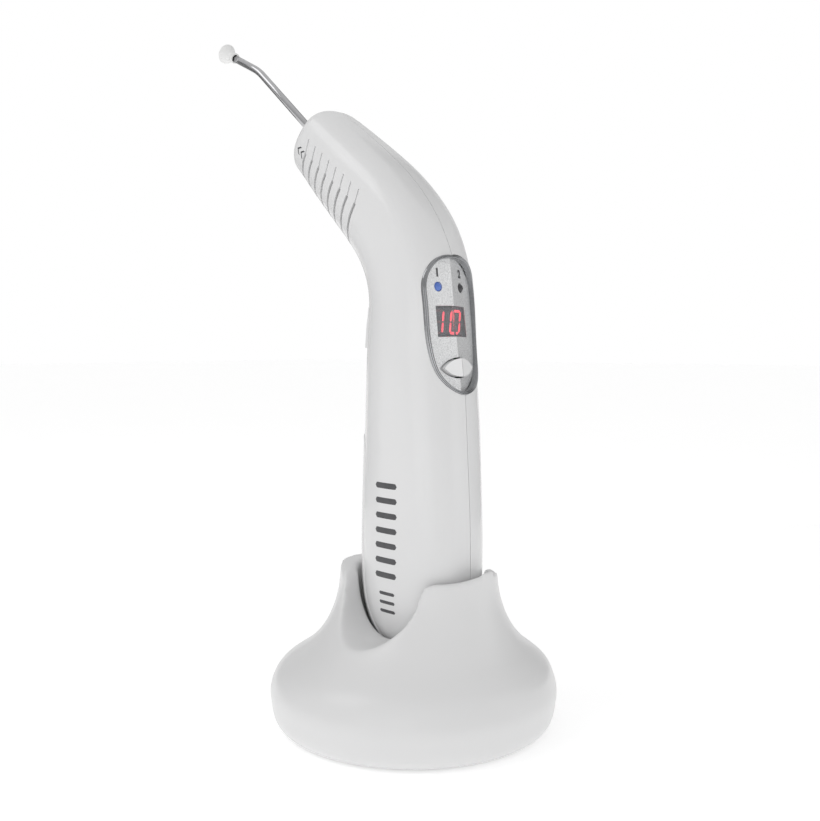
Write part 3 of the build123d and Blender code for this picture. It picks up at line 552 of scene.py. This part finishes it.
def periodic_curve(ring, steps):
    """Points of the smooth closed curve through a ring, by chord length."""
    count = len(ring)
    points = np.array(ring, float)
    after = np.roll(points, -1, axis=0)
    chord = np.hypot(*(after - points).T)
    before = np.roll(chord, 1)
    slope = (after - points) / chord[:, None]
    matrix = np.zeros((count, count))
    for i in range(count):
        matrix[i, i - 1] = chord[i]
        matrix[i, i] = 2 * (chord[i] + before[i])
        matrix[i, (i + 1) % count] = before[i]
    right = 3 * (before[:, None] * slope + chord[:, None] * np.roll(slope, 1, axis=0))
    tangent = np.linalg.solve(matrix, right)
    knots = np.concatenate(([0], np.cumsum(chord)))
    result = []
    for step in range(steps):
        length = knots[-1] * step / steps
        i = min(count - 1, int(np.searchsorted(knots, length, "right")) - 1)
        h = chord[i]
        t = (length - knots[i]) / h
        j = (i + 1) % count
        value = ((2 * t**3 - 3 * t**2 + 1) * points[i] + (t**3 - 2 * t**2 + t) * h * tangent[i]
                 + (3 * t**2 - 2 * t**3) * points[j] + (t**3 - t**2) * h * tangent[j])
        result.append((float(value[0]), float(value[1])))
    return result


def bezel_loop(inset):
    """Closed curve round the panel, drawn in by an inset, in millimetres on the panel."""
    middle = (BEZEL_TOP + BEZEL_BOTTOM) / 2
    narrow = 1 - inset / max(x for x, y in BEZEL_OUTLINE)
    short = 1 - inset / (BEZEL_TOP - middle)
    half = [(x * narrow, middle + (y - middle) * short) for x, y in BEZEL_OUTLINE]
    mirrored = [(-x, y) for x, y in reversed(half)]
    ring = [(0, BEZEL_TOP - inset), *half, (0, BEZEL_BOTTOM + inset), *mirrored]
    return periodic_curve(ring, BEZEL_STEPS)


def band_heights():
    """Heights of the CAD band's top at BAND_INSETS, by step round the panel."""
    tree = surface_of("panel_bezel")
    guides = [bezel_loop(inset) for inset in BAND_INSETS]
    heights = {}
    for k in range(BEZEL_STEPS):
        starts = [on_panel(*guide[k], PANEL_RAY_OUT) for guide in guides]
        hits = [tree.ray_cast(start, -PANEL_NORMAL)[0] for start in starts]
        if all(hit is not None for hit in hits):
            heights[k] = [PANEL_RAY_OUT - (start - hit).length / MM
                          for start, hit in zip(starts, hits)]
    return heights


def make_bezel_ring():
    """Smoked-chrome surround: an outer bead, a groove, an inner bead and a fine step."""
    heights = band_heights()
    near, centre, far = BAND_INSETS
    bm = bmesh.new()
    rings = []
    for inset, rise in BEZEL_PROFILE:
        ring = []
        for k, (across, up) in enumerate(bezel_loop(inset)):
            low, mid, high = heights[min(heights, key=lambda j: abs(j - k))]
            top = mid + (high - low) / (far - near) * (inset - centre)
            ring.append(bm.verts.new(on_panel(across, up, top + rise)))
        rings.append(ring)
    join_rings(bm, rings)
    ring = add_piece("bezel_ring", bm, LOOKS["dark_chrome"], "handpiece")
    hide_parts("panel_bezel")


# inset from the outer edge, height over the facet
LIP_PROFILE = ((1.02, -1.0), (1.02, 0.03), (1.85, 0.03), (1.85, -1.0))


def make_panel_lip():
    """Margin of the silver plate, up to the surround."""
    bm = bmesh.new()
    rings = []
    for inset, rise in LIP_PROFILE:
        ring = []
        for across, up in bezel_loop(inset):
            facet = -abs(across) * tan(FACET_TILT)
            ring.append(bm.verts.new(on_panel(across, up, facet + rise)))
        rings.append(ring)
    join_rings(bm, rings, closed=True)
    lip = add_piece("panel_lip", bm, LOOKS["silver_panel"], "handpiece")
    set_smooth(lip.data, False)


WINDOW_UP = 8.7
DIGIT_OUT = -2.72
DIGIT_HEIGHT = 7.2
DIGIT_WIDTH = 4.3
DIGIT_SLANT = radians(14)
DIGIT_CENTRES = (-5.3, 3.1)
SEGMENT_WIDTH = 0.82
SEGMENT_GAP = 0.16
SEGMENT_THICKNESS = 0.1
# segment ends on a unit digit: x, y to x, y
SEGMENTS = {
    "a": ((0, 1), (1, 1)), "b": ((1, 1), (1, 0.5)), "c": ((1, 0.5), (1, 0)), "d": ((0, 0), (1, 0)),
    "e": ((0, 0), (0, 0.5)), "f": ((0, 0.5), (0, 1)), "g": ((0, 0.5), (1, 0.5)),
}
LIT = ("bc", "abcdef")


def add_segment(bm, centre, name):
    """One bar of a digit, pointed at both ends."""
    (x0, y0), (x1, y1) = SEGMENTS[name]
    a = Vector(((x0 - 0.5) * DIGIT_WIDTH, (y0 - 0.5) * DIGIT_HEIGHT))
    b = Vector(((x1 - 0.5) * DIGIT_WIDTH, (y1 - 0.5) * DIGIT_HEIGHT))
    along = (b - a).normalized()
    side = Vector((-along.y, along.x))
    gap = along * SEGMENT_GAP
    half = SEGMENT_WIDTH / 2
    a, b = a + gap, b - gap
    outline = (a, a + (along + side) * half, b + (side - along) * half, b,
               b - (side + along) * half, a + (along - side) * half)
    lower = []
    upper = []
    for p in outline:
        x = centre + p.x + p.y * tan(DIGIT_SLANT)
        y = WINDOW_UP + p.y
        lower.append(bm.verts.new(on_panel(x, y, DIGIT_OUT - SEGMENT_THICKNESS)))
        upper.append(bm.verts.new(on_panel(x, y, DIGIT_OUT)))
    bm.faces.new(upper)
    join_rings(bm, [lower, upper])


def make_digits():
    """Two seven-segment digits reading 10, with the unlit segments faint."""
    for state in ("lit", "unlit"):
        bm = bmesh.new()
        for centre, on in zip(DIGIT_CENTRES, LIT):
            for name in SEGMENTS:
                if (name in on) == (state == "lit"):
                    add_segment(bm, centre, name)
        look = SEGMENT_LIT if state == "lit" else SEGMENT_DIM
        piece = add_piece(f"display_segments_{state}", bm, look, "handpiece")
        set_smooth(piece.data, False)


LABEL_UP = 23.2
LABEL_ACROSS = 5.75
LABEL_SIZE = 3.5
LABEL_WEIGHT = 0.2
LABEL_THICKNESS = 0.01
LABEL_LIFT = 0.03


def text_mesh(text):
    """Flat centred lettering round the origin."""
    curve = bpy.data.curves.new("label", "FONT")
    curve.body = text
    curve.size = LABEL_SIZE * MM
    curve.align_x = "CENTER"
    curve.extrude = LABEL_THICKNESS * MM
    curve.offset = LABEL_WEIGHT * MM
    holder = add_object("label_source", curve)
    bpy.context.view_layer.update()
    mesh = evaluated_mesh(holder)
    bpy.data.objects.remove(holder)
    return mesh


def make_labels():
    """Channel numbers over the two indicators, each flat on its facet."""
    for text, side in (("1", -1), ("2", 1)):
        mesh = text_mesh(text)
        across = ACROSS * cos(FACET_TILT) - PANEL_NORMAL * (side * sin(FACET_TILT))
        matrix = Matrix((across, PANEL_UP, across.cross(PANEL_UP))).transposed().to_4x4()
        fall = -LABEL_ACROSS * tan(FACET_TILT) + LABEL_LIFT
        matrix.translation = on_panel(side * LABEL_ACROSS, LABEL_UP, fall)
        mesh.transform(matrix)
        mesh.materials.clear()
        mesh.materials.append(INK)
        label = add_object(f"channel_mark_{text}", mesh)
        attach(label, "handpiece")


# ---- printed marks --------------------------------------------------------------

PRINT_LIFT = 0.02
SIDE_RAY_START = -40
# centre X, centre Z, half length, half height
SIDE_BARS = (
    (1.6, 81.5, 5.0, 0.95), (1.6, 76.6, 5.0, 0.95), (1.6, 71.7, 5.0, 0.95), (1.5, 66.8, 5.0, 0.95),
    (1.4, 61.9, 5.0, 0.95), (1.3, 57.0, 5.0, 0.95), (1.2, 52.1, 5.0, 0.95), (1.6, 46.0, 3.6, 0.55),
    (1.5, 43.0, 3.6, 0.55), (1.4, 40.0, 3.6, 0.55),
)
BAR_COLUMNS = 18
BAR_END_RISE = 0.001


def drop_on(tree, x, z):
    """Row point on the -Y side of the handpiece, lifted by the print's thickness."""
    start = Vector((x, SIDE_RAY_START, z)) * MM
    hit, normal = tree.ray_cast(start, ACROSS)[:2]
    return hit + Vector((normal.x, -abs(normal.y), normal.z)) * PRINT_LIFT * MM


def make_side_bars():
    """A column of printed bars with round ends on the handle's side."""
    tree = surface_of("left_shell")
    bm = bmesh.new()
    for x, z, half_length, half_height in SIDE_BARS:
        columns = []
        for step in range(BAR_COLUMNS + 1):
            offset = (step / BAR_COLUMNS * 2 - 1) * half_length
            into_end = max(0.0, abs(offset) - (half_length - half_height)) / half_height
            rise = half_height * sqrt(max(0.0, 1 - into_end**2)) + BAR_END_RISE
            columns.append([bm.verts.new(drop_on(tree, x + offset, z + rise * k))
                            for k in (-1, 0, 1)])
        for left, right in zip(columns, columns[1:]):
            for k in range(2):
                bm.faces.new((left[k], right[k], right[k + 1], left[k + 1]))
    add_piece("side_bars", bm, INK, "handpiece")


# tip of each arrowhead: X, Z
CHEVRONS = ((-42.6, 195.4), (-40.9, 193.8))
CHEVRON_TILT = radians(46)
CHEVRON_SPAN = 1.5
CHEVRON_WEIGHT = 0.77
CHEVRON_STEPS = 6


def make_nose_chevrons():
    """Two arrowheads on the nose that point towards the light guide."""
    tree = surface_of("left_shell")
    along = Vector((-sin(CHEVRON_TILT), cos(CHEVRON_TILT)))
    side = Vector((along.y, -along.x))
    bm = bmesh.new()
    for x, z in CHEVRONS:
        tip = Vector((x, z))
        for arm in (-1, 1):
            end = tip + (side * arm - along) * CHEVRON_SPAN
            rows = []
            for step in range(CHEVRON_STEPS + 1):
                front = tip.lerp(end, step / CHEVRON_STEPS)
                rear = front - along * CHEVRON_WEIGHT
                rows.append([bm.verts.new(drop_on(tree, *p)) for p in (front, rear)])
            for (a, b), (c, d) in zip(rows, rows[1:]):
                bm.faces.new((a, c, d, b))
    add_piece("nose_chevrons", bm, INK, "handpiece")


# ---- light guide and tip cap ----------------------------------------------------

# lengths in millimetres from the nose's end: straight part, then the part past the bend
GUIDE_ROOT = Vector((-43.7, 0, 199.9))
GUIDE_TILT = radians(47.2)
GUIDE_STRAIGHT = 43.6
GUIDE_DISTAL = 19.5
TIP_TILT = radians(62.2)


def guide_along(tilt):
    """Direction towards the tip, tilted from upright towards -X."""
    return Vector((-sin(tilt), 0, cos(tilt)))


def guide_side(tilt):
    """Direction square to guide_along in the plane of symmetry."""
    return Vector((cos(tilt), 0, sin(tilt)))


GUIDE_CORNER = GUIDE_ROOT + guide_along(GUIDE_TILT) * GUIDE_STRAIGHT


def guide_ring(bm, centre, tilt, radius, sides):
    """Vertices of a circle square to the guide, from a centre and radius in millimetres."""
    ring = []
    for step in range(sides):
        turn = 2 * pi * step / sides
        out = guide_side(tilt) * cos(turn) + ACROSS * sin(turn)
        ring.append(bm.verts.new((centre + out * radius) * MM))
    return ring


TUBE_OUTER = 1.34
TUBE_BORE = 0.95
# thinner part inside the ferrule, and where along the guide it starts and ends
TUBE_ROOT_RADIUS = 1.14
TUBE_START = -16.1
TUBE_SHOULDER = 6.4
TUBE_SHOULDER_LENGTH = 0.2
# bend
TUBE_BEND = 22.0
BEND_STEPS = 16
# far end
TUBE_END = 0.2
TUBE_LIP_LENGTH = 0.08
TUBE_LIP_INSET = 0.1
TUBE_SIDES = 32


def tube_stations():
    """Centre and tilt of each full-thickness section along the guide, in millimetres."""
    straight = guide_along(GUIDE_TILT)
    turn = TIP_TILT - GUIDE_TILT
    begin = GUIDE_CORNER - straight * (TUBE_BEND * tan(turn / 2))
    centre = begin - guide_side(GUIDE_TILT) * TUBE_BEND
    stations = [(GUIDE_ROOT + straight * TUBE_SHOULDER, GUIDE_TILT)]
    for step in range(BEND_STEPS + 1):
        tilt = GUIDE_TILT + turn * step / BEND_STEPS
        stations.append((centre + guide_side(tilt) * TUBE_BEND, tilt))
    stations.append((GUIDE_CORNER + guide_along(TIP_TILT) * (GUIDE_DISTAL + TUBE_END), TIP_TILT))
    return stations


def make_light_tube():
    """Polished guide tube: thin root, thicker visible part, eased lip and bore."""
    stations = tube_stations()
    straight = guide_along(GUIDE_TILT)
    root = GUIDE_ROOT + straight * TUBE_START
    neck = stations[0][0] - straight * TUBE_SHOULDER_LENGTH
    lip = stations[-1][0] + guide_along(TIP_TILT) * TUBE_LIP_LENGTH
    sections = [(root, GUIDE_TILT, TUBE_ROOT_RADIUS), (neck, GUIDE_TILT, TUBE_ROOT_RADIUS)]
    sections.extend((centre, tilt, TUBE_OUTER) for centre, tilt in stations)
    sections.append((lip, TIP_TILT, TUBE_OUTER - TUBE_LIP_INSET))
    sections.append((lip, TIP_TILT, TUBE_BORE))
    sections.extend((centre, tilt, TUBE_BORE) for centre, tilt in reversed(stations))
    sections.append((root, GUIDE_TILT, TUBE_BORE))
    bm = bmesh.new()
    rings = [guide_ring(bm, *section, TUBE_SIDES) for section in sections]
    join_rings(bm, rings, closed=True)
    tube = add_piece("light_tube", bm, LOOKS["bright_steel"], "light_guide")
    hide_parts("guide_tube")


# radius, height along the guide from its far end
TIP_PROFILE = (
    (1.42, -4.4), (1.65, -4.48), (1.95, -4.3), (2.02, -3.95), (1.92, -3.6), (1.85, -3.1),
    (1.88, -2.5), (2.02, -1.8), (2.3, -1.1), (2.7, -0.4), (3.12, 0.2), (3.45, 0.65), (3.63, 1.0),
    (3.67, 1.25), (3.6, 1.5), (3.3, 1.72), (2.7, 1.9), (1.6, 2.08), (0.8, 2.16), (0.0, 2.18),
)
TIP_SIDES = 48


def make_tip_button():
    """Soft diffuser cap: a beaded neck that flares into a rounded button."""
    along = guide_along(TIP_TILT)
    origin = GUIDE_CORNER + along * GUIDE_DISTAL
    bm = bmesh.new()
    rings = [guide_ring(bm, origin + along * height, TIP_TILT, radius, TIP_SIDES)
             for radius, height in TIP_PROFILE[:-1]]
    join_rings(bm, rings)
    crown = bm.verts.new((origin + along * TIP_PROFILE[-1][1]) * MM)
    last = rings[-1]
    for k in range(TIP_SIDES):
        bm.faces.new((last[k], last[(k + 1) % TIP_SIDES], crown))
    cap = add_piece("tip_button", bm, LOOKS["cap_plastic"], "tip_cap")
    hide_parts("tip_cap")


paint_nodes()
make_camera()
make_studio()
make_stand_casing()
make_contact_springs()
make_bezel_ring()
make_panel_lip()
make_digits()
make_labels()
make_side_bars()
make_nose_chevrons()
make_light_tube()
make_tip_button()
